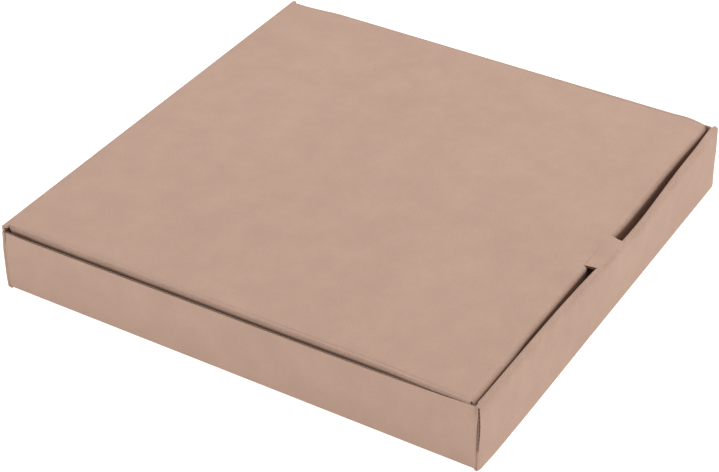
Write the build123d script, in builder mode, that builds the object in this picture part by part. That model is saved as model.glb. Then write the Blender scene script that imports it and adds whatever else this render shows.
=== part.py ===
from build123d import *
import os
from math import radians, tan

os.makedirs("parts", exist_ok=True)

# A square pizza box folded from one die-cut sheet of brown corrugated board.
# The origin is the middle of the underside. +Z is up, -Y is the front, where
# the lid's tab locks, and the lid is creased along the top of the back wall.

# Overall sizes, in millimetres
box_width = 330.0          # outside, across the two side walls
box_depth = 330.0          # outside, front wall to back wall
side_height = 45.0         # underside to the cut top edge of a side wall

# The board and how its plies lie
board = 1.5                # thickness of the board
crease_radius = 0.5        # inside radius of a crease
ply_gap = 0.25             # air between two plies that lie together
lid_gap = 0.3              # air between the lid and the tray

# The tray's flaps
corner_flap = 90.0         # reach of a corner flap, from the side wall's outside
corner_cut = 8.0           # slanted corners at a corner flap's free end
flap_lift = 0.8            # a corner flap's lower edge above the base
end_relief = 0.5           # a hidden ply's end, short of what it fits between
lock_width = 40.0          # lock tongues at the foot of the rolled front wall
lock_spacing = 180.0       # between the middles of the two tongues
lock_recess = 0.3          # a tongue's end above the underside

# The lid's flaps
side_flap = 30.0           # height of a lid side flap, below the lid's top face
side_flap_cut = 12.0       # slanted corners at its two ends
hinge_setback = 8.0        # a lid side flap's end, from the outside of the back
tuck_flap = 35.0           # height of the front tuck flap
tuck_lean = 3.0            # degrees that it leans in towards its free edge
tuck_radius = 14.0         # rounded corners of its free edge
tuck_gap = 1.4             # lid's front crease to the front wall's inside
corner_notch = 2.6         # open corner where two of the lid's creases meet
tab_width = 37.0           # the locking tab, which stays in the lid's plane
tab_kerf = 0.3             # the cuts along its two sides
tab_reach = 2.0            # how far its end stands over the front wall
tab_window = 7.0           # height of the window it leaves in the tuck flap

# Places that follow from these
half_width = box_width / 2
half_depth = box_depth / 2
mid_ply = board / 2
crease_mid = crease_radius + mid_ply
crease_outer = crease_radius + board
side_mid = half_width - mid_ply
base_top = board
lid_under = side_height + ply_gap
lid_top = lid_under + board
lid_mid = lid_under + mid_ply

# The front wall is outer ply, corner flap and inner ply, with air between
front_outer_mid = -half_depth + mid_ply
front_flap_mid = front_outer_mid + board + ply_gap
front_inner_mid = front_flap_mid + board + ply_gap
front_inside = front_inner_mid + mid_ply

# The back wall has the rear corner flaps against its inside
back_mid = half_depth - mid_ply
back_flap_mid = back_mid - board - ply_gap
back_half = half_width - crease_outer
back_top = lid_under - lid_gap

# The side walls run straight between their two upright creases
side_front = front_flap_mid - mid_ply + crease_outer
side_back = back_flap_mid + mid_ply - crease_outer
side_length = side_back - side_front
side_centre = (side_front + side_back) / 2

# The lid lies just inside the side walls and turns on the back wall's top
lid_half = half_width - board - lid_gap
lid_side_mid = lid_half - mid_ply
lid_front = front_inside + tuck_gap
lid_front_mid = lid_front + mid_ply
lid_panel_front = lid_front + crease_outer
lid_flap_back = half_depth - hinge_setback
hinge_y = back_mid
tab_end = front_inside - tab_reach
tuck_foot = lid_top - tuck_flap
tuck_foot_mid = lid_front_mid + (lid_mid - tuck_foot) * tan(radians(tuck_lean))
tuck_half = lid_half - corner_notch


# The tray: base, four walls, the rolled front and the four corner flaps
with BuildPart() as tray:
    # Base and side walls, one U section along the straight of the walls
    with BuildSketch(Plane.XZ.offset(-side_centre)):
        with BuildLine():
            FilletPolyline(
                (-side_mid, side_height),
                (-side_mid, mid_ply),
                (side_mid, mid_ply),
                (side_mid, side_height),
                radius=crease_mid,
            )
        trace(line_width=board)
    extrude(amount=side_length / 2, both=True)

    # Each side wall turns two upright creases into its corner flaps
    with BuildSketch(Plane.XY.offset(base_top + flap_lift)):
        for side in (-1, 1):
            with BuildLine():
                FilletPolyline(
                    (side * (half_width - corner_flap), front_flap_mid),
                    (side * side_mid, front_flap_mid),
                    (side * side_mid, back_flap_mid),
                    (side * (half_width - corner_flap), back_flap_mid),
                    radius=crease_mid,
                )
            trace(line_width=board)
    extrude(amount=side_height - base_top - flap_lift)

    # Slanted corners at the corner flaps' free ends
    flap_corners = tray.edges().filter_by(Axis.Y).filter_by(
        lambda edge: abs(abs(edge.center().X) - (half_width - corner_flap)) < mid_ply
    )
    chamfer(flap_corners, length=corner_cut)

    # Back wall, up from the base crease to the hinge crease
    with BuildSketch(Plane.YZ):
        with BuildLine():
            FilletPolyline(
                (side_back - board, mid_ply),
                (back_mid, mid_ply),
                (back_mid, back_top),
                radius=crease_mid,
            )
        trace(line_width=board)
    extrude(amount=back_half, both=True)

    # Front wall's outer ply, up from the base and over the top
    with BuildSketch(Plane.YZ):
        with BuildLine():
            FilletPolyline(
                (side_front + board, mid_ply),
                (front_outer_mid, mid_ply),
                (front_outer_mid, lid_mid),
                (front_inner_mid - crease_mid, lid_mid),
                radius=crease_mid,
            )
        trace(line_width=board)
    extrude(amount=half_width, both=True)

    # Slots in the base for the lock tongues
    lock_places = [(-lock_spacing / 2, front_inner_mid), (lock_spacing / 2, front_inner_mid)]
    with BuildSketch(Plane.XY):
        with Locations(*lock_places):
            Rectangle(lock_width + 2 * ply_gap, board + 2 * ply_gap)
    extrude(amount=base_top, mode=Mode.SUBTRACT)

    # Front wall's inner ply, down from the top to the base
    with BuildSketch(Plane.YZ):
        with BuildLine():
            FilletPolyline(
                (front_inner_mid - 2 * crease_mid, lid_mid),
                (front_inner_mid, lid_mid),
                (front_inner_mid, base_top + ply_gap),
                radius=crease_mid,
            )
        trace(line_width=board)
    extrude(amount=half_width - board - end_relief, both=True)

    # Lock tongues at its foot
    with BuildSketch(Plane.XY.offset(lock_recess)):
        with Locations(*lock_places):
            Rectangle(lock_width, board)
    extrude(amount=base_top + ply_gap - lock_recess)

    # Slot across the top crease, where the lid's tab goes in
    with BuildSketch(Plane.XY.offset(lid_under - lid_gap)):
        with Locations((0, front_inside - (tab_reach + lid_gap) / 2)):
            Rectangle(tab_width + 2 * lid_gap, tab_reach + lid_gap)
    extrude(amount=board + 2 * lid_gap, mode=Mode.SUBTRACT)

tray.part.label = "tray"
export_step(tray.part, "parts/tray.step")


# The lid: top panel, two side flaps, front tuck flap and locking tab
with BuildPart() as lid:
    # Panel and side flaps, one section along the straight of the side creases
    with BuildSketch(Plane.XZ.offset(-lid_panel_front)):
        with BuildLine():
            FilletPolyline(
                (-lid_side_mid, lid_top - side_flap),
                (-lid_side_mid, lid_mid),
                (lid_side_mid, lid_mid),
                (lid_side_mid, lid_top - side_flap),
                radius=crease_mid,
            )
        trace(line_width=board)
    extrude(amount=lid_panel_front - lid_flap_back)

    # Slanted ends of the side flaps
    side_flap_corners = lid.edges().filter_by(Axis.X).filter_by(
        lambda edge: edge.center().Z < lid_top - side_flap / 2
    )
    chamfer(side_flap_corners, length=side_flap_cut)

    # Panel's front and tuck flap, with the hinge edge rounded about its axis
    with BuildSketch(Plane.YZ):
        with BuildLine():
            FilletPolyline(
                (hinge_y, lid_mid),
                (lid_front_mid, lid_mid),
                (tuck_foot_mid, tuck_foot),
                radius=crease_mid,
            )
        trace(line_width=board)
        with Locations((hinge_y, lid_mid)):
            Circle(mid_ply)
    extrude(amount=tuck_half, both=True)

    # Rounded corners of the tuck flap's free edge
    tuck_corners = lid.edges().filter_by(
        lambda edge: abs(abs(edge.center().X) - tuck_half) < crease_radius
        and edge.center().Z < tuck_foot + board
    )
    fillet(tuck_corners, radius=tuck_radius)

    # Panel past the side flaps, out to the hinge
    with BuildSketch(Plane.YZ):
        with Locations(((lid_flap_back + hinge_y) / 2, lid_mid)):
            Rectangle(hinge_y - lid_flap_back, board)
        with Locations((hinge_y, lid_mid)):
            Circle(mid_ply)
    extrude(amount=half_width - crease_radius, both=True)

    # Window in the front crease and the tuck flap, left by the tab
    with BuildSketch(Plane.XZ.offset(-lid_panel_front)):
        with Locations((0, lid_top - tab_window / 2)):
            Rectangle(tab_width + 2 * tab_kerf, tab_window)
    extrude(amount=lid_panel_front - tab_end, mode=Mode.SUBTRACT)

    # Locking tab, in the lid's plane
    with BuildSketch(Plane.XY.offset(lid_under)):
        with Locations((0, (lid_panel_front + tab_end) / 2)):
            Rectangle(tab_width, lid_panel_front - tab_end)
    extrude(amount=board)

lid.part.label = "lid"
export_step(lid.part, "parts/lid.step")

print("hinge axis, mm:", hinge_y, lid_mid)
print("inside, mm:", lid_half - board, tuck_foot_mid + board, back_flap_mid - mid_ply, base_top, lid_under)
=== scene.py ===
from math import cos, pi, radians, sin, tan

import bpy
import numpy as np
from mathutils import Matrix, Vector


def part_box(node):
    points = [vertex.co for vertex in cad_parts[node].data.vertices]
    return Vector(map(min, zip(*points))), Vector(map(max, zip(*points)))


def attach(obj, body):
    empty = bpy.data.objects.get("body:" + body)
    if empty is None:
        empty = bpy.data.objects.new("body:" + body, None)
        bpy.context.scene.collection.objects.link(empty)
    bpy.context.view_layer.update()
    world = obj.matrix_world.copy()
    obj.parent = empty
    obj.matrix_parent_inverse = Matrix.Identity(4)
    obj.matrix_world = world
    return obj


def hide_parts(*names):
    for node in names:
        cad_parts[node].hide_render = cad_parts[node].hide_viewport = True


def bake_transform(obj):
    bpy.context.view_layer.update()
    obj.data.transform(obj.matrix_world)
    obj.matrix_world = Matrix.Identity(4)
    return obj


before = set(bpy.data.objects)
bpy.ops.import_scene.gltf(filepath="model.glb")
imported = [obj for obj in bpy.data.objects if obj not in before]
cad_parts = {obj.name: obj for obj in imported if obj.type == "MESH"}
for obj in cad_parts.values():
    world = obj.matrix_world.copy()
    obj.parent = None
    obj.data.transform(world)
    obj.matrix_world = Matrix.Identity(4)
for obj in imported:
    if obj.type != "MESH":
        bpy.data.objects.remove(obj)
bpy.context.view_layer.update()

# A takeaway pizza box folded from one die-cut sheet of brown corrugated board.
# Lengths in the dictionaries are millimetres, and everything built is in metres.
mm = 0.001
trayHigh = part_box("tray")[1]

board = 1.5 * mm                  # thickness of the board
half = board / 2
foldMid = 1.25 * mm               # radius of a crease at the middle of the board
wallDepth = 5.0                   # the rolled front wall, outside to inside
hair = 1e-7                       # lengths nearer than this are equal
boxHalf = trayHigh.x              # outside of the side walls
boxTop = trayHigh.z               # top of the rolled front wall and of the lid
lidMid = boxTop - half            # middle of the lid's board
wallMid = boxHalf - half          # middle of the outer walls' board
print("pizza box: frame loaded, outside", [round(2000 * v) for v in trayHigh.xy], "mm")


# Small maths, on whole arrays

def smooth(t):                    # 0 to 1 with level ends: 3 t squared less 2 t cubed
    t = np.clip(t, 0.0, 1.0)
    return t * t * (3.0 - 2.0 * t)


def ease(t, start, length):       # smooth from the start, over a length that may be negative
    return smooth((t - start) / length)


def hump(t, middle, spread):      # a bell: e to the minus of the squared distance in spreads
    return np.exp(-(((t - middle) / spread) ** 2))


def lines(spacing, *stops):       # rising values through every stop, about evenly spaced between
    stops = sorted(stops)
    runs = [
        np.linspace(a, b, max(2, int(round((b - a) / spacing)) + 1))[:-1]
        for a, b in zip(stops[:-1], stops[1:])
    ]
    return np.append(np.concatenate(runs), stops[-1])


def foldedPath(corners, radii, spacing, arcSteps=6):
    # A path through the corners, straight between them, each corner with a radius turned
    # into an arc: centre plus radius times (cos, sin) of an angle that runs at an even rate.
    # Returns its points, the length along it, and 1 on the arcs and 0 on the straights.
    corners = np.array(corners, float)
    points, onArc = [corners[:1]], [np.zeros(1)]
    for i in range(1, len(corners)):
        here, before = corners[i], points[-1][-1]
        if i < len(corners) - 1 and radii[i] > 0:
            a = (here - corners[i - 1]) / np.linalg.norm(here - corners[i - 1])
            b = (corners[i + 1] - here) / np.linalg.norm(corners[i + 1] - here)
            turn = np.arctan2(a[0] * b[1] - a[1] * b[0], a @ b)
            reach = radii[i] * abs(tan(turn / 2))
            start = here - reach * a
            inward = np.array([-a[1], a[0]]) * np.sign(turn)
            sweep = np.linspace(0, abs(turn), arcSteps + 1)[1:, None]
            arc = start + radii[i] * (np.sin(sweep) * a + (1 - np.cos(sweep)) * inward)
        else:
            start, arc = here, None
        gap = np.linalg.norm(start - before)
        if gap > 1e-6:
            count = max(1, int(round(gap / spacing)))
            run = before + np.linspace(0, 1, count + 1)[1:, None] * (start - before)
            points.append(run)
            onArc.append(np.zeros(len(run)))
        if arc is not None:
            points.append(arc)
            onArc.append(np.ones(len(arc)))
    points, onArc = np.concatenate(points), np.concatenate(onArc)
    steps = np.linalg.norm(np.diff(points, axis=0), axis=1)
    return points, np.append(0, np.cumsum(steps)), onArc


# A folded sheet of board

def patch(points, blank, crease, keep=None):
    # One panel of a sheet: a grid of middle-of-the-board points, where each lies on the flat
    # blank, how much it is creased, and which of its cells are board and not cut away.
    if keep is None:
        keep = np.ones((points.shape[0] - 1, points.shape[1] - 1), bool)
    return points, blank, crease, keep


def cells(values):                # middles of a grid's cells along one direction
    return (values[1:] + values[:-1]) / 2


def facing(points, quads):
    # Each corner's normal: the sum of its faces' normals, each the cross of its diagonals.
    p = points[quads]
    normal = np.cross(p[:, 2] - p[:, 0], p[:, 3] - p[:, 1])
    total = np.zeros_like(points)
    for k in range(4):
        np.add.at(total, quads[:, k], normal)
    return total / np.maximum(np.linalg.norm(total, axis=1)[:, None], 1e-12)


# rows across a cut edge: height in half boards, and share of the core's depth
rimRows = [(1.0, 0.0), (0.70, 0.10), (0.62, 1.0), (-0.62, 1.0), (-0.70, 0.10), (-1.0, 0.0)]
rimDepth = 0.16 * mm              # how far the fluted core lies behind the liners' cut edges
joinStep = 0.013 * mm             # points nearer than this are one
sharpTurn = 38                    # degrees between faces from which an edge looks sharp
edgeWaves = (9.0, 14.0, 23.0, 41.0)    # lengths of the waves in a cut edge
edgeWaveHeight = 0.025


def foldSheet(name, patches, bend, edgeSeed, butted=None, openCore=None):
    # Joins the panels where they meet, bends them, and gives them the board's thickness:
    # two skins half a board either side of the middle, and a cut edge all round whose
    # fluted core lies a little back from its two liners.
    points, blank, crease, quads, count = [], [], [], [], 0
    for p, b, c, keep in patches:
        m, n = p.shape[:2]
        index = count + np.arange(m * n).reshape(m, n)
        cell = np.stack([index[:-1, :-1], index[1:, :-1], index[1:, 1:], index[:-1, 1:]], -1)
        quads.append(cell[keep])
        points.append(p.reshape(-1, 3))
        blank.append(b.reshape(-1, 2))
        crease.append(c.reshape(-1))
        count += m * n
    points, blank = np.concatenate(points), np.concatenate(blank)
    crease, quads = np.concatenate(crease), np.concatenate(quads)
    key = np.round(points / joinStep).astype(np.int64)
    _, first, same = np.unique(key, axis=0, return_index=True, return_inverse=True)
    quads = same.reshape(-1)[quads]
    used, quads = np.unique(quads, return_inverse=True)
    quads = quads.reshape(-1, 4)
    quads = quads[(quads != np.roll(quads, 1, axis=1)).sum(1) > 2]    # less any closed to a line
    first = first[used]
    points, blank, crease = points[first], blank[first], crease[first]
    # how far a cut edge's core stands open: 1 as the knife leaves it, 0 pressed flush
    gape = np.ones(len(points)) if openCore is None else openCore(points)

    points = bend(points)
    normal = facing(points, quads)

    # Edges that only one face uses are the sheet's cut edges
    sides = np.concatenate([quads[:, [k, (k + 1) % 4]] for k in range(4)])
    low, high = sides.min(1), sides.max(1)
    code = low * len(points) + high
    _, where, uses = np.unique(code, return_index=True, return_counts=True)
    rim = sides[where[uses == 1]]
    along = points[rim[:, 1]] - points[rim[:, 0]]
    along /= np.linalg.norm(along, axis=1)[:, None]
    outward = np.zeros_like(points)
    side = np.cross(along, (normal[rim[:, 0]] + normal[rim[:, 1]]) / 2)
    np.add.at(outward, rim[:, 0], side)
    np.add.at(outward, rim[:, 1], side)
    outward /= np.maximum(np.linalg.norm(outward, axis=1)[:, None], 1e-12)
    isRim = np.zeros(len(points), bool)
    isRim[rim.reshape(-1)] = True
    if butted is not None:        # cut ends that meet another piece stay true
        isRim &= ~butted(points)

    # A knife's cut wanders a little: its edge moves in and out by a few hundredths
    wander = edgeWander(blank, edgeSeed)[:, None]
    points = points + np.where(isRim[:, None], outward * wander, 0)

    rimPoint = np.unique(rim)
    slot = np.full(len(points), -1)
    slot[rimPoint] = np.arange(len(rimPoint))
    depth = np.where(isRim[rimPoint], rimDepth * gape[rimPoint], 0.0)[:, None]
    rows = [
        points[rimPoint] + normal[rimPoint] * half * level - outward[rimPoint] * depth * back
        for level, back in rimRows
    ]
    n = len(points)
    top, under = points + normal * half, points - normal * half
    verts = np.concatenate([top, under] + rows[1:-1])
    through = np.concatenate([np.ones(n), -np.ones(n)])
    through = np.concatenate([through] + [np.full(len(rimPoint), r[0]) for r in rimRows[1:-1]])
    where = np.concatenate([np.arange(n), np.arange(n)] + [rimPoint] * (len(rimRows) - 2))
    rowIndex = [rim]
    for k in range(len(rimRows) - 2):
        rowIndex.append(2 * n + k * len(rimPoint) + slot[rim])
    rowIndex.append(rim + n)
    band, kind = [], []
    for k in range(len(rimRows) - 1):
        a, b = rowIndex[k], rowIndex[k + 1]
        band.append(np.stack([a[:, 1], a[:, 0], b[:, 0], b[:, 1]], -1))
        # the cut mark, less where an end is pressed flush, sets where the cut edge's darkening and the
        # painted shade of its flute hollows show
        shown = np.clip(gape[rim].mean(1), 0, 1)
        kind.append(shown * (2.0 if k == 2 else 1.0))
    faces = np.concatenate([quads, quads[:, ::-1] + n] + band)
    kind = np.concatenate([np.zeros(2 * len(quads))] + kind)

    mesh = bpy.data.meshes.new(name)
    mesh.vertices.add(len(verts))
    mesh.vertices.foreach_set("co", verts.astype(np.float32).ravel())
    mesh.loops.add(faces.size)
    mesh.loops.foreach_set("vertex_index", faces.astype(np.int32).ravel())
    mesh.polygons.add(len(faces))
    mesh.polygons.foreach_set("loop_start", np.arange(0, faces.size, 4, dtype=np.int32))
    mesh.polygons.foreach_set("use_smooth", np.ones(len(faces), bool))
    mesh.update(calc_edges=True)
    layer = mesh.uv_layers.new(name="blank")
    layer.data.foreach_set("uv", blank[where][faces.ravel()].astype(np.float32).ravel())
    for title, values in (("through", through), ("crease", crease[where])):
        mesh.attributes.new(title, "FLOAT", "POINT").data.foreach_set(
            "value", values.astype(np.float32))
    mesh.attributes.new("cut", "FLOAT", "FACE").data.foreach_set(
        "value", kind.astype(np.float32))
    mesh.set_sharp_from_angle(angle=radians(sharpTurn))
    mesh.validate()
    piece = bpy.data.objects.new(name, mesh)
    bpy.context.scene.collection.objects.link(piece)
    print(name, "made:", len(faces), "faces")
    return piece


def edgeWander(blank, seed):
    # A few sine waves along the blank, of unlike lengths, added to each other.
    rng = np.random.default_rng(seed)
    total = np.zeros(len(blank))
    for wave in edgeWaves:
        turn, lean = rng.uniform(0, 2 * pi), rng.uniform(0.7, 1.3)
        total += np.sin((blank[:, 0] * lean + blank[:, 1]) * 2 * pi / (wave * mm) + turn)
    return total * edgeWaveHeight * mm


# The tray

tray = {
    "sideHeight": 45.0,           # cut top edge of the side walls
    "plyStep": 1.75,              # middle of one ply to the middle of the next
    "cornerFlap": 90.0,           # reach of a corner flap from the side wall's outside
    "cornerCut": 8.0,             # slanted corners at a corner flap's end
    "flapFoot": 2.3,              # lower edge of the corner flaps
    "cornerFoot": 1.6,            # and of the rounded corners they turn from
    "innerHalf": 163.0,           # half the width of the inner ply, base and back wall
    "lockHalf": 20.0,             # half a lock tongue
    "lockPlace": 90.0,            # middle of a tongue from the middle of the box
    "lockGap": 0.25,              # air round a tongue in its slot
    "tongueFoot": 0.3,
    "rollRadius": 1.9,            # the roll's inner fold, mid-board
    "tabSlotHalf": 16.65,         # half the slot across the front crease
    "tabSlotPlace": -1.5,
    "tabSlotReach": 3.0,          # slot's far edge from the wall's inside
    "tabSlotDrop": 4.0,           # slot's lower edge below the top
    "hingeHalf": 164.4,           # half the hinge crease
    "backShoulder": 41.6,         # the back wall's ends are cut lower, clear of the lid
    "seamTop": 43.6,              # where the back wall hands over to the hinge crease
    "gridStep": 6.0,
}
sideLean = {                      # the lid's flaps press the side walls out at the top
    "middle": 1.15,
    "towardsBack": 0.0015,        # more for each millimetre towards the hinge
    "rearHold": (166.0, 16.0),    # the rear corner lets it go over this length
    "frontHold": (-158.0, 22.0),  # and so does the front one
    "frontPower": 1.3,
    "frontPinch": 0.3,            # the front corner is drawn in by the roll
    "pinchPlace": (-162.0, 8.0),
    "farSide": 0.9,               # the other side wall leans this much of it
    "mostRise": 1.05,
    "wall": (158.5, 5.0),         # where the walls begin, out from the middle
    "flap": (150.0, 13.0),        # the corner flaps follow from further in
    "flapShare": 0.35,
}
sideDip = {                       # and their cut edge falls away from the front corner
    "most": 2.0,
    "towardsBack": 0.0045,
    "hold": 40.0,
    "atHinge": 0.6,
    "hingePlace": (166.0, 14.0),
    "frontLift": 0.2,             # it starts this much higher
    "heights": (0.5, 0.46),       # shares of the box's height that take it up
}
frontBow = {                      # the rolled front wall is pushed out at the tab
    "bulge": 3.6,
    "bulgePlace": (32.0, 62.0),
    "rightIn": 0.9,               # and stands in a little at its far end
    "rightEnd": (132.0, 28.0),
    "foot": 1.2,
    "footLean": -0.0014,
    "footBulge": 0.28,
    "footPlace": (-98.0, 50.0),
    "footIn": 0.7,                # its foot is held in at the near end
    "footEnd": (-165.0, 12.0),
    "reach": (-120.0, -40.0),     # how far in from the front the bow is felt
    "press": 0.5,                 # its plies are pressed together along the top
    "pressHeights": (0.55, 0.35),
    "pressReach": (-158.0, -1.0),
    "leftIn": 1.1,                # its near end leans in at the top
    "leftEnd": (-166.0, 14.0),
    "leftPower": 3,
    "outerPly": 1.4,
    "endCut": 0.2,                # and its far end is cut back there
    "cutEnd": (125.0, 40.0),
    "cutPower": 1.6,
    "endDroop": 0.35,             # its top corners are rounded down
    "droopEnd": (162.5, 3.0),
    "droopHeights": (0.9, 0.08),
}
cornerPinch = {                   # the front corners' creases are drawn in at the top
    "most": 1.3,
    "power": 1.5,
    "across": (164.4, 1.6),
    "along": (-162.6, 1.8),
}
endCurl = {                       # the crushed ends curl round the corners
    "most": 0.9,
    "ends": (163.8, 1.2),
    "skin": 0.9,                  # only in the outermost ply
    "frontHeights": (10.0, 22.0),
    "rearHeights": (42.5, -2.0),
}
rearBulge = {                     # the rear corners bulge at half their height
    "most": 1.5,
    "top": (42.5, -10.0),
    "across": (148.0, 14.0),
    "along": (140.0, 20.0),
}
wallWave = {                      # the walls are never quite flat: wavelengths and turns
    "across": (61.0, 0.8),
    "along": (74.0, -0.5),
    "side": 0.25,
    "backLine": (52.0, 0.4),
    "back": 0.35,
    "backFrom": (160.0, 3.0),
}
endCrush = {                      # the outer ends of the front and back walls are crushed flush
    "ends": (163.5, 0.4),
    "corners": (158.5, 0.4),
    "frontGape": 6.0,             # how open the near front end's core stands
    "gapeHeights": (12.0, 16.0),
    "gapeTop": 45.2,
    "nickPlace": (-159.2, 1.5),   # and where it shows beside the roll's end
    "nickOver": 44.0,
    "hinge": (162.0, 0.4),        # the hinge crease's ends are crushed too
    "hingeFrom": (158.0, 0.4),
}
frontMid = -boxHalf + half
innerMid = frontMid + 2 * tray["plyStep"] * mm
flapMid = frontMid + tray["plyStep"] * mm
backMid = boxHalf - half
rearFlapMid = backMid - tray["plyStep"] * mm
cornerFold = 0.95 * mm            # the upright creases are tighter, mid-board
sideEnd = rearFlapMid - cornerFold    # end of the side walls' straight part
innerHalf = tray["innerHalf"] * mm
baseMid = half


def fromFront(v, hold):
    # 0 at the front corner: 1 less e to the minus of a power of the distance in holds.
    distance = np.clip(v - sideLean["frontHold"][0], 0, None)
    return 1 - np.exp(-(distance / hold) ** sideLean["frontPower"])


def leanOut(v):
    # Outward lean of a side wall's top: a slope towards the back, times its fall to each
    # corner, less a small bell where the front corner is drawn in.
    s = sideLean
    free = (1 - hump(v, *s["rearHold"])) * fromFront(v, s["frontHold"][1])
    lean = (s["middle"] + s["towardsBack"] * v) * free
    return (lean - s["frontPinch"] * hump(v, *s["pinchPlace"])) * mm


def dipDown(v):                   # how far a side wall's cut edge lies below the front corner
    s = sideDip
    dip = (s["most"] + s["towardsBack"] * v) * fromFront(v, s["hold"])
    return (dip + s["atHinge"] * hump(v, *s["hingePlace"])) * mm


def bowOut(x, t):
    # The front wall's outward bow: one curve along its foot, another along its top, and a
    # straight blend between them up the wall.
    u, f = x / mm, frontBow
    foot = f["foot"] + f["footLean"] * u + f["footBulge"] * hump(u, *f["footPlace"])
    foot = foot - f["footIn"] * hump(u, *f["footEnd"])
    top = f["bulge"] * hump(u, *f["bulgePlace"]) - f["rightIn"] * ease(u, *f["rightEnd"])
    return (foot * (1 - t) + top * t) * mm


def bendTray(p):
    x, y, z = p.T.copy()
    u, v, h = p.T / mm
    rise = np.clip(z / boxTop, 0, 1)
    side = np.sign(x)
    skin = endCurl["skin"] * mm
    apart = 0.5 * mm              # less than from one ply's middle to the next
    # the outer ply, the inner ply and the roll over them
    inFront = y < flapMid - apart
    inFront |= (y < -sideEnd) & (y > flapMid + apart)
    inFront |= (y < -sideEnd) & (h > tray["sideHeight"] + 0.1)
    # Side walls: the lean grows straight up the wall
    s = sideLean
    wall = ease(np.abs(u), *s["wall"])
    ply = s["flapShare"] * ease(np.abs(u), *s["flap"]) + (1 - s["flapShare"]) * wall
    lean = leanOut(v) * np.clip(h / tray["sideHeight"], 0, s["mostRise"])
    inWall = np.where(np.abs(y) < sideEnd + 3 * mm, wall, ply)
    inWall = np.where(inFront | (y > rearFlapMid + skin), 0.0, inWall)
    dx = side * lean * np.where(x < 0, 1.0, s["farSide"]) * inWall
    # Front corners' upright creases are drawn in towards the top
    c = cornerPinch
    pinch = c["most"] * mm * rise ** c["power"] * hump(np.abs(u), *c["across"]) * hump(v, *c["along"])
    pinch = np.where(inFront, 0.0, pinch)
    dx = dx - side * pinch
    # Front wall: bow out, its plies pressed together at the top, ends cut back there, and
    # top corners rounded down
    f = frontBow
    ply = np.clip((y - frontMid) / (innerMid - frontMid), 0, 1.2)
    press = f["press"] * mm * ply * ease(rise, *f["pressHeights"]) * ease(v, *f["pressReach"])
    dy = pinch - bowOut(x, rise) * ease(v, *f["reach"]) - press
    outer = smooth((frontMid + f["outerPly"] * mm - y) / (f["outerPly"] * mm))
    dy = dy + outer * f["leftIn"] * mm * rise ** f["leftPower"] * hump(u, *f["leftEnd"])
    cut = f["endCut"] * mm * rise ** f["cutPower"] * ease(u, *f["cutEnd"])
    dx = dx - np.where(inFront, cut, 0.0)
    # Ends of the front and back walls curl round the corners, the front one only low down
    e = endCurl
    curl = e["most"] * mm * ease(np.abs(u), *e["ends"])
    dy = dy + np.where(y < frontMid + skin, curl * (1 - ease(h, *e["frontHeights"])), 0.0)
    dy = dy - np.where(y > backMid - skin, curl * ease(h, *e["rearHeights"]), 0.0)
    droop = f["endDroop"] * mm * ease(np.abs(u), *f["droopEnd"]) * ease(rise, *f["droopHeights"])
    dz = np.where(inFront, -droop, 0.0)
    # Side walls: the cut edge dips, and the wall below it takes up the difference
    isSide = ~inFront & (y < rearFlapMid + skin)
    dip = (dipDown(v) - sideDip["frontLift"] * mm) * ease(rise, *sideDip["heights"])
    dz = dz - np.where(isSide, dip, 0.0)
    # The rear corners' bulge is a root of 4 times the height's share times the rest of it
    b = rearBulge
    middle = rise * (1 - rise) * 4
    bulge = np.sqrt(np.clip(middle, 0, 1)) * ease(h, *b["top"])
    dy = dy + b["most"] * mm * bulge * ease(np.abs(u), *b["across"]) * ease(v, *b["along"])
    # The panels' waves are sines along each way, fullest at half height
    w = wallWave
    wave = np.sin(u / w["across"][0] + w["across"][1]) * np.sin(v / w["along"][0] + w["along"][1])
    backWave = np.sin(u / w["backLine"][0] + w["backLine"][1])
    dy = dy + ease(v, *w["backFrom"]) * w["back"] * mm * backWave * middle
    dx = dx + side * wall * np.where(inFront, 0, 1) * w["side"] * mm * wave * middle
    return np.stack([x + dx, y + dy, z + dz], -1)


def endGape(p):
    # The outer ends of the front and back walls are crushed flush by the folding, but the
    # near front one stands open towards its top.
    u, v, h = p.T / mm
    e = endCrush
    ends = ease(np.abs(u), *e["ends"]) * ease(np.abs(v), *e["corners"])
    top = ease(h, *e["gapeHeights"]) * (v < 0) * (u < 0) * (h < e["gapeTop"])
    nick = hump(v, *e["nickPlace"]) * (u < -e["ends"][0]) * (h > e["nickOver"])
    return 1 - ends + e["frontGape"] * (ends * top + nick)


def hingeEndGape(p):              # ends of the hinge crease, and of the lid beside it, are flush
    ends = ease(np.abs(p[:, 0]) / mm, *endCrush["hinge"])
    return 1 - ends * ease(p[:, 1] / mm, *endCrush["hingeFrom"])


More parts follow.
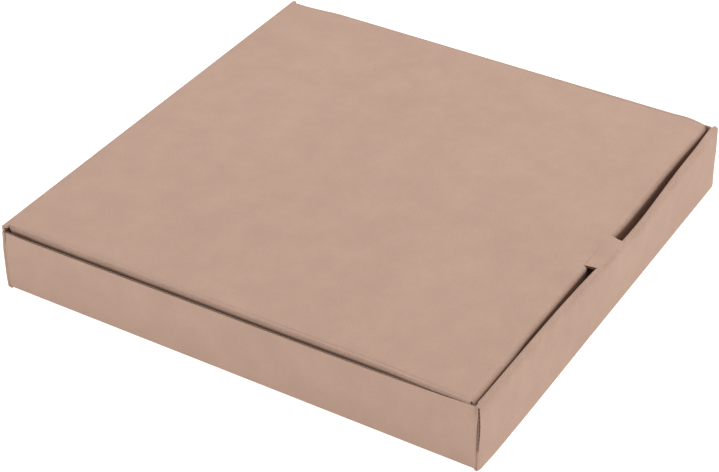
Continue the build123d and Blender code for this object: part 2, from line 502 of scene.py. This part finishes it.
def makeTray():
    t = tray
    step = t["gridStep"] * mm
    slotTop = boxTop - t["tabSlotDrop"] * mm
    slotEnd = -boxHalf + (wallDepth - t["tabSlotReach"]) * mm
    tongueTop = board + t["lockGap"] * mm
    air = half + t["lockGap"] * mm
    # Middle strip: inner ply, roll, outer ply, base and back wall, one path across the box
    corners = [
        (innerMid, t["tongueFoot"] * mm), (innerMid, tongueTop), (innerMid, slotTop),
        (innerMid, lidMid), (slotEnd, lidMid), (frontMid, lidMid), (frontMid, baseMid),
        (innerMid - air, baseMid), (-sideEnd, baseMid), (innerMid + air, baseMid),
        (sideEnd, baseMid), (backMid, baseMid), (backMid, t["backShoulder"] * mm),
        (backMid, t["seamTop"] * mm),
    ]
    radii = [0, 0, 0, t["rollRadius"] * mm, 0, foldMid, foldMid, 0, 0, 0, 0, foldMid, 0, 0]
    path, length, bent = foldedPath(corners, radii, step)
    xs = lines(step, *[s * v * mm for s in (-1, 1) for v in (
        boxHalf / mm, t["hingeHalf"], t["innerHalf"], t["lockPlace"] + t["lockHalf"],
        t["lockPlace"] + t["lockHalf"] + t["lockGap"], t["lockPlace"] - t["lockHalf"],
        t["lockPlace"] - t["lockHalf"] - t["lockGap"])],
               *[(t["tabSlotPlace"] + s * t["tabSlotHalf"]) * mm for s in (-1, 1)])
    onBase = (path[:, 1] < baseMid + hair)
    ref = np.argmax(onBase)
    v = path[ref, 0] + length - length[ref]
    points = np.stack(np.broadcast_arrays(xs[None, :], path[:, :1], path[:, 1:]), -1)
    blank = np.stack(np.broadcast_arrays(xs[None, :], v[:, None]), -1)
    crease = np.broadcast_to(bent[:, None], blank.shape[:2])
    cx = np.abs(cells(xs))[None, :]
    cy, cz = cells(path[:, 0])[:, None], cells(path[:, 1])[:, None]
    order = np.arange(len(path) - 1)[:, None]
    isInner = order < np.argmax(path[:, 1] > lidMid - 0.6 * mm)
    fromLock = np.abs(cx - t["lockPlace"] * mm)
    keep = ~(isInner & (cx > innerHalf))
    keep &= ~(isInner & (cz < tongueTop) & (fromLock > t["lockHalf"] * mm))
    acrossTab = np.abs(cells(xs)[None, :] - t["tabSlotPlace"] * mm) < t["tabSlotHalf"] * mm
    inTabSlot = (cz > slotTop) & (cy > slotEnd) & (cy < 0) & acrossTab
    isBase = ~isInner & (cz < baseMid + hair)
    lockSlot = (np.abs(cy - innerMid) < air) & (fromLock < (t["lockHalf"] + t["lockGap"]) * mm)
    keep &= ~(inTabSlot | (isBase & lockSlot))
    keep &= ~((cx > innerHalf) & ~isInner & (np.abs(cy) < sideEnd))
    keep &= ~((cx > t["hingeHalf"] * mm) & (cy > sideEnd) & (cz > t["backShoulder"] * mm))
    panels = [patch(points, blank, crease, keep)]

    # Side wings: base crease, side wall, and round both upright creases to the corner flaps
    foot, top = t["flapFoot"] * mm, t["sideHeight"] * mm
    arc = np.linspace(0, pi / 2, 7)[:-1]
    heights = lines(5 * mm, baseMid + foldMid, foot, foot + t["cornerCut"] * mm,
                    top - t["cornerCut"] * mm, top - 1.5 * mm, top)
    inset = np.append(foldMid * (1 - np.sin(arc)), np.zeros(len(heights)))
    up = np.append(baseMid + foldMid * (1 - np.cos(arc)), heights)
    out = np.append(foldMid * arc, foldMid * pi / 2 + heights - heights[0])
    curl = np.append(np.ones(len(arc)), np.zeros(len(heights)))
    curl[len(arc)] = 1
    flapEnd = (boxHalf - t["cornerFlap"] * mm)
    wallY = path[(path[:, 1] < baseMid + hair) & (np.abs(path[:, 0]) < sideEnd + hair), 0]
    plan, planLength, planBent = foldedPath(
        [(flapEnd, flapMid), (wallMid, flapMid), (wallMid, -sideEnd)], [0, cornerFold, 0], step)
    planBack, backLength, backBent = foldedPath(
        [(wallMid, sideEnd), (wallMid, rearFlapMid), (flapEnd, rearFlapMid)], [0, cornerFold, 0], step)
    wall = np.stack([np.full(len(wallY) - 2, wallMid), wallY[1:-1]], -1)
    planAll = np.concatenate([plan, wall, planBack])
    bentAll = np.concatenate([planBent, np.zeros(len(wall)), backBent])
    v2 = np.concatenate([-sideEnd - planLength[-1] + planLength, wallY[1:-1], sideEnd + backLength])
    isWall = np.abs(planAll[:, 1]) < sideEnd + hair
    # slanted corners: a flap's free end runs back by however far a height is into its corner
    cut = np.clip(t["cornerCut"] * mm - (up - foot), 0, None)
    cut = np.maximum(cut, np.clip(t["cornerCut"] * mm - (top - up), 0, None))
    cut = np.where(up < foot - hair, 0, cut)
    along = (planAll[:, 0] - flapEnd) / (innerHalf - flapEnd)
    slide = np.where(isWall[:, None], 0, cut[None, :] * np.clip(1 - along, 0, 1)[:, None])
    # past the wall's end its foot runs down over the first part of the corner, then steps up
    skirt = isWall | ((bentAll > 0) & (np.abs(planAll[:, 1]) < rearFlapMid - 0.25 * mm))
    onCorner = (bentAll > 0) & (planAll[:, 0] > innerHalf + 0.2 * mm) & ~skirt
    for s in (-1, 1):
        px = s * (planAll[:, :1] + slide - np.where(isWall[:, None], inset[None, :], 0))
        py = np.broadcast_to(planAll[:, 1:], px.shape)
        pz = np.broadcast_to(up[None, :], px.shape).copy()
        pz[onCorner, len(arc) + 1] = t["cornerFoot"] * mm
        grid = np.stack([px, py, pz], -1)
        flatMap = np.stack(np.broadcast_arrays(s * (innerHalf + out[None, :]), v2[:, None]), -1)
        creased = np.maximum(bentAll[:, None], curl[None, :] * isWall[:, None])
        kept = (cells(up)[None, :] > foot - hair) | (skirt[1:] & skirt[:-1])[:, None]
        if s < 0:                 # wound the other way, so that faces still look outwards
            grid, flatMap, creased, kept = grid[::-1], flatMap[::-1], creased[::-1], kept[::-1]
        panels.append(patch(grid, flatMap, creased, kept))
    butted = lambda p: (p[:, 1] > backMid - 1 * mm) & (p[:, 2] > (t["seamTop"] - 0.01) * mm)
    return foldSheet("traySheet", panels, bendTray, 11, butted, endGape)


traySheet = makeTray()


# The lid

lid = {
    "reach": 163.4,               # outer face of its side creases
    "sideFlapFoot": 16.75,
    "sideFold": 0.8,              # its side creases are crisp: radius mid-board
    "sideFlapLean": 12.0,         # degrees that a side flap leans in
    "sideFlapCut": 12.0,
    "sideFlapTuck": 1.3,          # its ends are drawn further in
    "backEnd": 160.0,             # rear end of the side flaps
    "frontInset": 7.2,            # box's front to the front crease's outer face
    "frontFold": 1.9,             # that crease is broader: its radius mid-board
    "ears": (0, 1),               # rows of it that the near and far corners run on into
    "tuckFoot": 11.75,
    "tuckLean": 8.0,
    "tuckHalf": 161.4,
    "tuckRound": 14.0,
    "windowHalf": 18.45,
    "windowFoot": 39.75,
    "tabPlace": -0.95,            # middle of the tab at its root, and of the window
    "tabHalf": 18.25,
    "tabEndPlace": -1.5,
    "tabEndHalf": 16.5,
    "tabTaper": 6.5,              # length over which it narrows
    "tabGap": 0.12,               # left between its end and the slot's far edge
    "seamBack": 161.6,            # where the lid hands over to the hinge crease
    "frontRows": (17.0, 13.0, 10.5, 8.0, 6.0, 4.5),    # the grid is finer before the crease
    "backRows": (1.2, 0.8, 0.4, 0.0),                  # behind the side flaps
    "scoreColumns": (0.4, 0.0, -0.4, -0.9),            # by the pressed line
    "edgeColumns": (158.2, 155.0),                     # and near the side creases
    "gridStep": 6.0,
}
lidShape = {                      # how the lid departs from flat and straight
    "hinge": (152.0, -30.0),      # it is true again by the hinge
    "flapHeight": 30.0,
    "frontOut": -0.35,            # the front crease wanders
    "frontLean": 0.0042,
    "frontBumps": ((-0.55, 42.0, 40.0), (0.3, 108.0, 30.0)),
    "nearForward": 0.8,           # and lies further forward at the near corner
    "nearPart": (-95.0, -25.0),
    "frontFade": (100.0, -260.0),
    "farFlare": 2.4,              # its far edge stands further out
    "farPart": (50.0, 110.0),
    "nearFlare": 1.5,             # and so does its near edge by the front corner
    "nearAlong": (-95.0, -55.0),
    "nearAcross": (-120.0, -40.0),
    "sag": 0.5,
    "sagHalf": (163.2, 160.0),
    "ripple": 0.12,
    "rippleAcross": (47.0, 1.3),  # wavelength and turn
    "rippleAlong": (58.0, 0.4),
    "rippleEdge": (155.0, -30.0),
    "frontDroop": (0.25, 0.9, 1.5),    # at the near corner, by the tab and at the far corner
    "droopParts": ((-30.0, 60.0), (100.0, 55.0)),
    "droopTab": (18.3, 9.0),      # none at the tab
    "droopLength": 11.0,
    "farLift": 0.45,              # the far corner turns up behind the droop
    "liftAlong": (-141.0, 5.0),
    "liftAcross": (150.0, 12.0),
    "scorePlace": 160.6,          # line pressed in beside each side crease
    "scoreWidth": 0.4,
    "scoreDepth": 0.4,
    "scoreEnds": ((150.0, -6.0), (-153.5, 4.0)),
    "scoreFar": 0.6,              # weaker on the far side
    "scoreFront": 1.3,            # and stronger towards the front
    "scoreLoss": (0.6, -70.0, 60.0),
    "facet": 0.36,                # slope from that line out to the crease, at the hinge
    "facetFront": 0.25,           # and this share of it at the front
    "facetPart": (-60.0, 90.0),
    "facetEnd": (158.0, -6.0),
    "tuckEnds": ((-136.0, -14.0), (140.0, 12.0)),
    "tuckEdge": (161.4, 0.8),
    "tuckDepth": (0.1, 1.6),
}
lidFront = -boxHalf + lid["frontInset"] * mm


def bendLid(p):
    x, y, z = p.T.copy()
    u, v, h = p.T / mm
    out = np.abs(u)
    k = lidShape
    fade = ease(v, *k["hinge"])
    below = lidMid / mm - h       # depth below the lid's own plane
    down = np.clip(below / k["flapHeight"], 0, 1)
    # Front crease wanders: a slope and two bells; the far side flares a little
    dy = k["frontOut"] + k["frontLean"] * u
    for amount, place, spread in k["frontBumps"]:
        dy = dy + amount * hump(u, place, spread)
    dy = (dy - k["nearForward"] * ease(u, *k["nearPart"])) * ease(v, *k["frontFade"]) * mm
    flare = k["farFlare"] * ease(u, *k["farPart"])
    flare = flare - k["nearFlare"] * ease(v, *k["nearAlong"]) * ease(u, *k["nearAcross"])
    dx = flare * mm * fade
    # The middle sags: a cosine each way, with a small ripple
    sag = np.cos(pi * np.clip(u / k["sagHalf"][0], -1, 1) / 2)
    sag = sag * np.cos(pi * np.clip(v / k["sagHalf"][1], -1, 1) / 2)
    ripple = np.sin(u / k["rippleAcross"][0] + k["rippleAcross"][1])
    ripple = ripple * np.sin(v / k["rippleAlong"][0] + k["rippleAlong"][1]) * k["ripple"]
    dz = (-k["sag"] * sag + ripple * ease(out, *k["rippleEdge"])) * mm * fade * (1 - down)
    # It droops to the front crease as a square of the distance, but not at the tab
    near, tab, far = k["frontDroop"]
    toTab, toFar = k["droopParts"]
    deep = near + (tab - near) * ease(u, *toTab) + (far - tab) * ease(u, *toFar)
    deep = deep * ease(np.abs(u - lid["tabPlace"]), *k["droopTab"])
    t = np.clip((lidFront / mm + 3 + k["droopLength"] - v) / k["droopLength"], 0, 1.1)
    lift = k["farLift"] * hump(v, *k["liftAlong"]) * ease(u, *k["liftAcross"])
    dz = dz - deep * t * t * mm + lift * mm
    # Beside each side crease a line is pressed in, and the board slopes from there to the edge
    rear, front = k["scoreEnds"]
    onPanel = smooth((0.9 - below) / 0.5)
    score = hump(out, k["scorePlace"], k["scoreWidth"]) * ease(v, *rear) * ease(v, *front)
    loss, start, over = k["scoreLoss"]
    score = score * onPanel * np.where(x < 0, 1, k["scoreFar"])
    score = score * (k["scoreFront"] - loss * ease(v, start, over))
    slope = k["facetFront"] + (1 - k["facetFront"]) * ease(v, *k["facetPart"])
    slope = k["facet"] * slope * ease(v, *k["facetEnd"]) * np.where(x < 0, 1.0, 0.0)
    dz = dz - k["scoreDepth"] * mm * score - slope * np.clip(out - k["scorePlace"], 0, None) * mm
    # The side flaps' ends are drawn in, clear of the walls' corners
    tuckIn = ease(v, *k["tuckEnds"][0]) + ease(v, *k["tuckEnds"][1])
    flap = ease(below, *k["tuckDepth"]) * ease(out, *k["tuckEdge"])
    dx = dx - np.sign(x) * lid["sideFlapTuck"] * mm * tuckIn * flap
    return np.stack([x + dx, y + dy, z + dz], -1)


def makeLid():
    t = lid
    step = t["gridStep"] * mm
    fold = t["frontFold"] * mm
    frontY = lidFront + half
    footY = frontY + (lidMid - t["tuckFoot"] * mm) * tan(radians(t["tuckLean"]))
    seam = t["seamBack"] * mm
    sideFold = t["sideFold"] * mm
    flatHalf = t["reach"] * mm - half - sideFold
    panelFront = frontY + fold * tan((pi / 2 - radians(t["tuckLean"])) / 2)
    lean = tan(radians(t["tuckLean"]))
    windowY = frontY + (lidMid - t["windowFoot"] * mm) * lean
    nearFold = [(frontY + d * mm, lidMid) for d in t["frontRows"]]
    hips = [((t["backEnd"] + d) * mm, lidMid) for d in t["backRows"]]
    corners = [(seam, lidMid), *hips, *nearFold, (frontY, lidMid),
               (windowY, t["windowFoot"] * mm), (footY, t["tuckFoot"] * mm)]
    radii = [0] * (len(corners) - 3) + [fold, 0, 0]
    path, length, bent = foldedPath(corners, radii, step, arcSteps=8)
    tuckHalf = t["tuckHalf"] * mm
    place = lidShape["scorePlace"]
    stops = [flatHalf / mm, t["tuckHalf"], *[place + d for d in t["scoreColumns"]], *t["edgeColumns"]]
    taper = [t["tabPlace"] + s * w for s in (-1, 1) for w in (t["windowHalf"], t["tabHalf"])]
    xs = lines(step, *[s * v * mm for s in (-1, 1) for v in stops], *[v * mm for v in taper])
    v = boxHalf + 0.002 + length          # runs on from the back wall on the blank
    points = np.stack(np.broadcast_arrays(xs[None, :], path[:, :1], path[:, 1:]), -1).copy()
    blank = np.stack(np.broadcast_arrays(xs[None, :], v[:, None]), -1)
    crease = np.broadcast_to(bent[:, None], blank.shape[:2])
    cx = np.abs(cells(xs))[None, :]
    cy, cz = cells(path[:, 0])[:, None], cells(path[:, 1])[:, None]
    order = np.arange(len(path) - 1)[:, None]
    pastPanel = cy < panelFront
    lastPanel = np.argmax(path[:, 0] < panelFront + hair)
    nearEar, farEar = t["ears"]
    keep = np.ones((len(path) - 1, len(xs) - 1), bool)
    ear = np.where(cells(xs)[None, :] < 0, nearEar, farEar)
    keep &= ~(pastPanel & (cx > tuckHalf) & (order >= lastPanel + ear))
    inWindow = np.abs(cells(xs)[None, :] - t["tabPlace"] * mm) < t["windowHalf"] * mm
    keep &= ~(pastPanel & (cz > t["windowFoot"] * mm) & inWindow)
    # rounded lower corners: rows near the free edge are narrower, along a quarter circle
    drop = np.clip((t["tuckFoot"] + t["tuckRound"]) * mm - path[:, 1], 0, None)
    r = t["tuckRound"] * mm
    inset = r - np.sqrt(np.clip(r * r - drop * drop, 0, None))
    scale = 1 - inset / tuckHalf
    points[..., 0] *= scale[:, None]
    # behind the side flaps the panel is as wide as the hinge crease
    inner = t["edgeColumns"][1]
    spread = smooth((np.abs(xs) / mm - inner) / (flatHalf / mm - inner)) * np.sign(xs)
    spread = spread * (tray["hingeHalf"] * mm - flatHalf)
    points[..., 0] += spread[None, :] * smooth((path[:, :1] - t["backEnd"] * mm) / (1.5 * mm))
    panels = [patch(points, blank, crease, keep)]

    # Tab in the lid's plane, narrowing to where it enters the front wall's slot, whose far
    # edge its end follows
    slotY = -boxHalf + (wallDepth - tray["tabSlotReach"]) * mm
    across = np.abs(xs - t["tabPlace"] * mm) <= t["tabHalf"] * mm + hair
    tx = xs[across]
    end = slotY - bowOut(tx, 1.0) + t["tabGap"] * mm
    share = np.linspace(0, 1, 9)[:, None]
    gy = panelFront + share * (end[None, :] - panelFront)
    narrow = np.clip((panelFront - gy) / (t["tabTaper"] * mm), 0, 1)
    width = 1 - (1 - t["tabEndHalf"] / t["tabHalf"]) * narrow
    place = (t["tabPlace"] + (t["tabEndPlace"] - t["tabPlace"]) * narrow) * mm
    gx = place + (tx[None, :] - t["tabPlace"] * mm) * width
    grid = np.stack([gx, gy, np.full(gx.shape, lidMid)], -1)
    atPanel = v[lastPanel]
    flatMap = np.stack([gx, atPanel + panelFront - gy], -1)
    panels.append(patch(grid, flatMap, np.zeros(gx.shape)))

    # Side flaps, round their crease and down, with slanted ends
    rows = slice(np.argmax(path[:, 0] < t["backEnd"] * mm + hair), lastPanel + nearEar + 1)
    ys, drops, vs = path[rows, 0], lidMid - path[rows, 1], v[rows]
    lean = tan(radians(t["sideFlapLean"]))
    reach = sideFold * tan((pi / 2 + radians(t["sideFlapLean"])) / 2)
    outer = flatHalf + reach
    foot = t["sideFlapFoot"] * mm
    sideCorners = [(flatHalf, lidMid), (outer, lidMid), (outer - (lidMid - foot) * lean, foot)]
    section, out, curl = foldedPath(sideCorners, [0, sideFold, 0], 4 * mm)
    cut = np.clip(t["sideFlapCut"] * mm - (section[:, 1] - t["sideFlapFoot"] * mm), 0, None)
    share = ((ys - ys[-1]) / (ys[0] - ys[-1]))[:, None]
    first, last = ys[-1] + cut[None, :], ys[0] - cut[None, :]
    gy = first + share * (last - first)
    for s in (-1, 1):
        gx = np.broadcast_to(s * section[None, :, 0], gy.shape)
        gz = section[None, :, 1] - drops[:, None] * smooth((section[None, :, 1] - foot) / 0.02)
        grid = np.stack([gx, gy, gz], -1)
        flatMap = np.stack(np.broadcast_arrays(s * (flatHalf + out[None, :]), vs[:, None]), -1)
        creased = np.broadcast_to(curl[None, :], gy.shape)
        if s < 0:
            grid, flatMap, creased = grid[::-1], flatMap[::-1], creased[::-1]
        panels.append(patch(grid, flatMap, creased))
    return foldSheet("lidSheet", panels, bendLid, 23, lambda p: p[:, 1] > seam - 0.01 * mm,
                     hingeEndGape)


lidSheet = makeLid()


# The hinge crease

hingeColumns = (110.25, 110, 70, 69.75, 18.3)    # in line with the tray's own


def makeHinge():
    # The board between the back wall and the lid: up the wall, round a quarter circle about
    # a centre below the lid and inside the wall, and on into the lid's plane.
    seam = lid["seamBack"] * mm
    foot = tray["seamTop"] * mm
    path, length, bent = foldedPath(
        [(backMid, foot), (backMid, lidMid), (seam, lidMid)], [0, foldMid, 0], 0.7 * mm, arcSteps=8)
    stops = (tray["hingeHalf"], *hingeColumns)
    xs = lines(6 * mm, *[s * v * mm for s in (-1, 1) for v in stops])
    v = boxHalf + length
    points = np.stack(np.broadcast_arrays(xs[None, :], path[:, :1], path[:, 1:]), -1)
    blank = np.stack(np.broadcast_arrays(xs[None, :], v[:, None]), -1)
    crease = np.broadcast_to(bent[:, None], blank.shape[:2])
    ends = lambda p: (p[:, 1] < seam + 0.01 * mm) | (p[:, 2] < foot + 0.01 * mm)
    return foldSheet("hingeCrease", [patch(points, blank, crease)], lambda p: p, 37, ends,
                     hingeEndGape)


hingeCrease = makeHinge()


# The board's finish

class Val:
    # A shader value: wraps a socket, so that maths on it is written as an expression
    def __init__(self, nodes, socket):
        self.nodes, self.socket = nodes, socket

    def op(self, kind, other, swap=False):
        first, second = (other, self) if swap else (self, other)
        return self.nodes.node("ShaderNodeMath", {"operation": kind}, {0: first, 1: second})

    def __add__(self, other):
        return self.op("ADD", other)

    def __radd__(self, other):
        return self.op("ADD", other)

    def __sub__(self, other):
        return self.op("SUBTRACT", other)

    def __rsub__(self, other):
        return self.op("SUBTRACT", other, swap=True)

    def __mul__(self, other):
        return self.op("MULTIPLY", other)

    def __rmul__(self, other):
        return self.op("MULTIPLY", other)


class Nodes:
    def __init__(self, material):
        material.use_nodes = True
        self.tree = material.node_tree
        self.tree.nodes.clear()

    def node(self, kind, settings=None, inputs=None, output=0):
        made = self.tree.nodes.new(kind)
        for key, value in (settings or {}).items():
            if key == "stops":
                ramp = made.color_ramp
                while len(ramp.elements) < len(value):
                    ramp.elements.new(0.5)
                for element, (place, tone) in zip(ramp.elements, value):
                    element.position = place
                    colour = tone if isinstance(tone, tuple) else (tone, tone, tone)
                    element.color = (*colour, 1)
            else:
                setattr(made, key, value)
        for key, value in (inputs or {}).items():
            if isinstance(value, Val):
                self.tree.links.new(value.socket, made.inputs[key])
            else:
                made.inputs[key].default_value = value
        return None if output is None else Val(self, made.outputs[output])

    def mix(self, share, a, b, blend="MIX"):
        return self.node("ShaderNodeMix", {"data_type": "RGBA", "blend_type": blend},
                         {0: share, 6: a, 7: b}, output=2)

    def noise(self, at, scale, detail=4.0, rough=0.55, output=0):
        inputs = {"Vector": at, "Scale": scale, "Detail": detail, "Roughness": rough}
        return self.node("ShaderNodeTexNoise", {}, inputs, output=output)

    def stretched(self, at, scale, turn=0.0):
        # the same place with its scale changed along each way, and turned in its plane
        inputs = {"Vector": at, "Scale": scale, "Rotation": (0, 0, turn)}
        return self.node("ShaderNodeMapping", {}, inputs)

    def bump(self, strength, distance, height, under=None):
        inputs = {"Strength": strength, "Distance": distance * mm, "Height": height}
        if under is not None:
            inputs["Normal"] = under
        return self.node("ShaderNodeBump", {}, inputs)

    def ramp(self, value, *stops):
        return self.node("ShaderNodeValToRGB", {"stops": stops}, {0: value})

    def attribute(self, name):
        return self.node("ShaderNodeAttribute", {"attribute_name": name}, output=2)


kraft = {
    "paper": (0.490, 0.325, 0.252),      # liner, linear light
    "core": (0.40, 0.265, 0.20),         # the fluted core's paper, seen at a cut edge
    "hollowShade": (0.10, 0.062, 0.044),      # painted shade in the hollows between its flutes
    # dark fibre flecks; this dark is also painted into creases and cut edges as shade
    "fleck": (0.26, 0.165, 0.115),
    "pale": (0.60, 0.42, 0.33),
    "fluteStep": 3.1,                    # one flute, in millimetres
    "fibreScale": (900, 2300, 1000),     # fibres are drawn out along the board's grain
    "crossScale": (1700, 620, 1000),     # and some lie across it
    "crossTurn": 0.35,
    "fleckScale": (420, 900, 1),
    "cloudScale": 55.0,
    "blotchScale": 9.0,
    "fibreTone": (0.87, 1.12),           # darkest and lightest, as shares of the liner
    "cloudDark": (0.965, 0.96, 0.955),
    "cloudLight": (1.03, 1.035, 1.04),
    "flecks": 0.28,
    "paleFlecks": 0.22,
    "creasePale": 0.18,
    "creaseShade": 0.16,
    "roughness": (0.80, 0.94),
    "shine": 0.25,
    "napHeight": 0.12,
    "rippleHeight": 0.03,
    "crushHeight": 0.2,
}


def kraftBoard():
    material = bpy.data.materials.new("kraftCorrugated")
    n = Nodes(material)
    k = kraft
    rgb = lambda name: (*k[name], 1.0)
    uv = n.node("ShaderNodeUVMap", {"uv_map": "blank"})
    place = n.node("ShaderNodeTexCoord", output=3)
    # paper fibres: noise drawn out along the machine direction, at two scales
    fine = n.noise(n.stretched(uv, k["fibreScale"]), 1.0, 3.0, 0.6)
    cross = n.noise(n.stretched(uv, k["crossScale"], k["crossTurn"]), 1.0, 3.0, 0.6)
    cloud = n.noise(place, k["cloudScale"], 5.0, 0.6)
    blotch = n.noise(place, k["blotchScale"], 3.0, 0.5)
    fleckNoise = n.noise(n.stretched(uv, k["fleckScale"]), 1.0, 2.0, 0.5)
    fleck = n.ramp(fleckNoise, (0.70, 0.0), (0.80, 1.0))
    paleFleck = n.ramp(cross, (0.66, 0.0), (0.80, 1.0))

    through = n.attribute("through")
    crease = n.attribute("crease")
    cut = n.attribute("cut")
    low, high = k["fibreTone"]
    tone = n.ramp(fine * 0.5 + cross * 0.3 + cloud * 0.2, (0.30, low), (0.70, high))
    paper = n.mix(1.0, rgb("paper"), tone, "MULTIPLY")
    tone = n.ramp(cloud * 0.45 + blotch * 0.55, (0.30, k["cloudDark"]), (0.70, k["cloudLight"]))
    paper = n.mix(1.0, paper, tone, "MULTIPLY")
    paper = n.mix(fleck * k["flecks"], paper, rgb("fleck"))
    paper = n.mix(paleFleck * k["paleFlecks"], paper, rgb("pale"))
    # a crease's paper is strained: paler fibres stand up in broken streaks, and between them darker
    # streaks are painted shade of the fold
    strain = n.ramp(cross * 0.6 + cloud * 0.4, (0.46, 0.0), (0.62, 1.0))
    paper = n.mix(crease * strain * k["creasePale"], paper, rgb("pale"))
    paper = n.mix(crease * (1 - strain) * k["creaseShade"], paper, rgb("fleck"))

    # cut edge: two liners and between them the flute, a sine of the blank's length
    along = n.node("ShaderNodeSeparateXYZ", {}, {0: uv}, output=1)
    turns = along * (2 * pi / (k["fluteStep"] * mm))
    wave = n.node("ShaderNodeMath", {"operation": "SINE"}, {0: turns})
    apart = n.node("ShaderNodeMath", {"operation": "ABSOLUTE"}, {0: wave * 0.5 - through})
    flute = n.ramp(apart, (0.16, 1.0), (0.30, 0.0))
    # the hollows beside the flute are painted with the shade that falls in them
    core = n.mix(flute, rgb("hollowShade"), rgb("core"))
    isCore = n.ramp(cut * 0.5, (0.70, 0.0), (0.80, 1.0))
    isCut = n.ramp(cut, (0.40, 0.0), (0.60, 1.0))
    # cut edges are darker: partly the cut fibres' own tone, partly painted shade, as on the side walls'
    # tops under the lid's edge
    edge = n.mix(0.7, paper, rgb("fleck"))
    paper = n.mix(isCut * 0.85, paper, edge)
    paper = n.mix(isCore, paper, core)

    # relief: fibre nap, then the faint washboard of the flutes beneath, then crushed creases
    nap = n.bump(0.22, k["napHeight"], fine * 0.35 + cross * 0.30 + cloud * 0.35)
    ripple = n.bump(0.30, k["rippleHeight"], wave * (1 - isCut), nap)
    crush = n.bump(0.5, k["crushHeight"], crease * cross, ripple)
    low, high = k["roughness"]
    dull = n.ramp(cloud * 0.5 + fine * 0.5, (0.3, low), (0.7, high))
    shader = n.node("ShaderNodeBsdfPrincipled", {}, {
        "Base Color": paper, "Roughness": dull, "Normal": crush, "Specular IOR Level": k["shine"]})
    n.node("ShaderNodeOutputMaterial", {}, {"Surface": shader}, output=None)
    return material


finish = kraftBoard()
print("kraft finish made")
for piece in (traySheet, lidSheet, hingeCrease):
    piece.data.materials.append(finish)
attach(traySheet, "tray")
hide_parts("tray")
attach(lidSheet, "lid")
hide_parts("lid")
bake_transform(hingeCrease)


# Floor, light and camera

studio = {
    "floorSize": 12.0,
    "floorTone": 0.5,
    "floorGlow": 0.94,            # a light table's own light
    "skyLow": 0.72,               # the room's own light, level and overhead
    "skyHigh": 0.42,
    "topPlace": (2.1, -0.1, 3.9),      # the big softbox overhead, a little to the right
    "topSize": 2.6,
    "topPower": 132.0,
    "frontPlace": (0.7, -2.2, 1.10),   # and a weaker one in front
    "frontSize": 1.2,
    "frontPower": 2.2,
}


def makeFloor():
    size = studio["floorSize"]
    grid = np.linspace(-size / 2, size / 2, 9)
    gx, gy = np.meshgrid(grid, grid, indexing="ij")
    verts = np.stack([gx, gy, np.zeros_like(gx)], -1).reshape(-1, 3)
    index = np.arange(81).reshape(9, 9)
    faces = np.stack([index[:-1, :-1], index[1:, :-1], index[1:, 1:], index[:-1, 1:]], -1).reshape(-1, 4)
    mesh = bpy.data.meshes.new("floor")
    mesh.from_pydata(verts.tolist(), [], faces.tolist())
    floor = bpy.data.objects.new("floor", mesh)
    bpy.context.scene.collection.objects.link(floor)
    material = bpy.data.materials.new("paleFloor")
    n = Nodes(material)
    tone = studio["floorTone"]
    shader = n.node("ShaderNodeBsdfPrincipled", {}, {
        "Base Color": (tone, tone, tone, 1),
        "Roughness": 0.9,
        "Emission Color": (1, 1, 1, 1),
        "Emission Strength": studio["floorGlow"],
    })
    n.node("ShaderNodeOutputMaterial", {}, {"Surface": shader}, output=None)
    mesh.materials.append(material)


makeFloor()


def softLight(name, place, aim, size, power):
    data = bpy.data.lights.new(name, "AREA")
    data.shape = "SQUARE"
    data.size = size
    data.energy = power
    light = bpy.data.objects.new(name, data)
    light.location = place
    light.rotation_euler = (Vector(aim) - Vector(place)).to_track_quat("-Z", "Y").to_euler()
    bpy.context.scene.collection.objects.link(light)


def makeSky():
    # The room's light: a soft ramp on the height of the direction that it comes from.
    world = bpy.data.worlds.new("studio")
    bpy.context.scene.world = world
    n = Nodes(world)
    direction = n.node("ShaderNodeTexCoord")
    split = n.node("ShaderNodeSeparateXYZ", {}, {0: direction}, output=2)
    level = n.ramp(split, (0.25, studio["skyLow"]), (0.85, studio["skyHigh"]))
    sky = n.node("ShaderNodeBackground", {}, {"Color": level, "Strength": 1.0})
    n.node("ShaderNodeOutputWorld", {}, {"Surface": sky}, output=None)


makeSky()
softLight("topSoftbox", studio["topPlace"], (0, 0, 0), studio["topSize"], studio["topPower"])
softLight("frontSoftbox", studio["frontPlace"], (0, 0, 0.02), studio["frontSize"], studio["frontPower"])

cameraSet = {
    "azimuth": -59.32,            # 0 looks along +Y and 90 along -X
    "elevation": 35.357,
    "roll": 0.297,
    "distance": 1.26026,
    "aim": (-0.03421, -0.01028, 0.0234),
    "lens": 101.4,
}


def makeCamera():
    c = cameraSet
    a, e, r = radians(c["azimuth"]), radians(c["elevation"]), radians(c["roll"])
    ahead = Vector((-sin(a) * cos(e), cos(a) * cos(e), -sin(e)))
    level = Vector((cos(a), sin(a), 0))
    above = level.cross(ahead)
    right = level * cos(r) + above * sin(r)
    up = right.cross(ahead)
    data = bpy.data.cameras.new("camera")
    data.lens = c["lens"]
    data.sensor_width = 36
    data.clip_start = 0.01
    camera = bpy.data.objects.new("camera", data)
    turn = Matrix((right, up, -ahead)).transposed().to_4x4()
    camera.matrix_world = Matrix.Translation(Vector(c["aim"]) - ahead * c["distance"]) @ turn
    bpy.context.scene.collection.objects.link(camera)
    bpy.context.scene.camera = camera


makeCamera()
print("floor, light and camera set")
bpy.context.scene.view_settings.view_transform = "Standard"
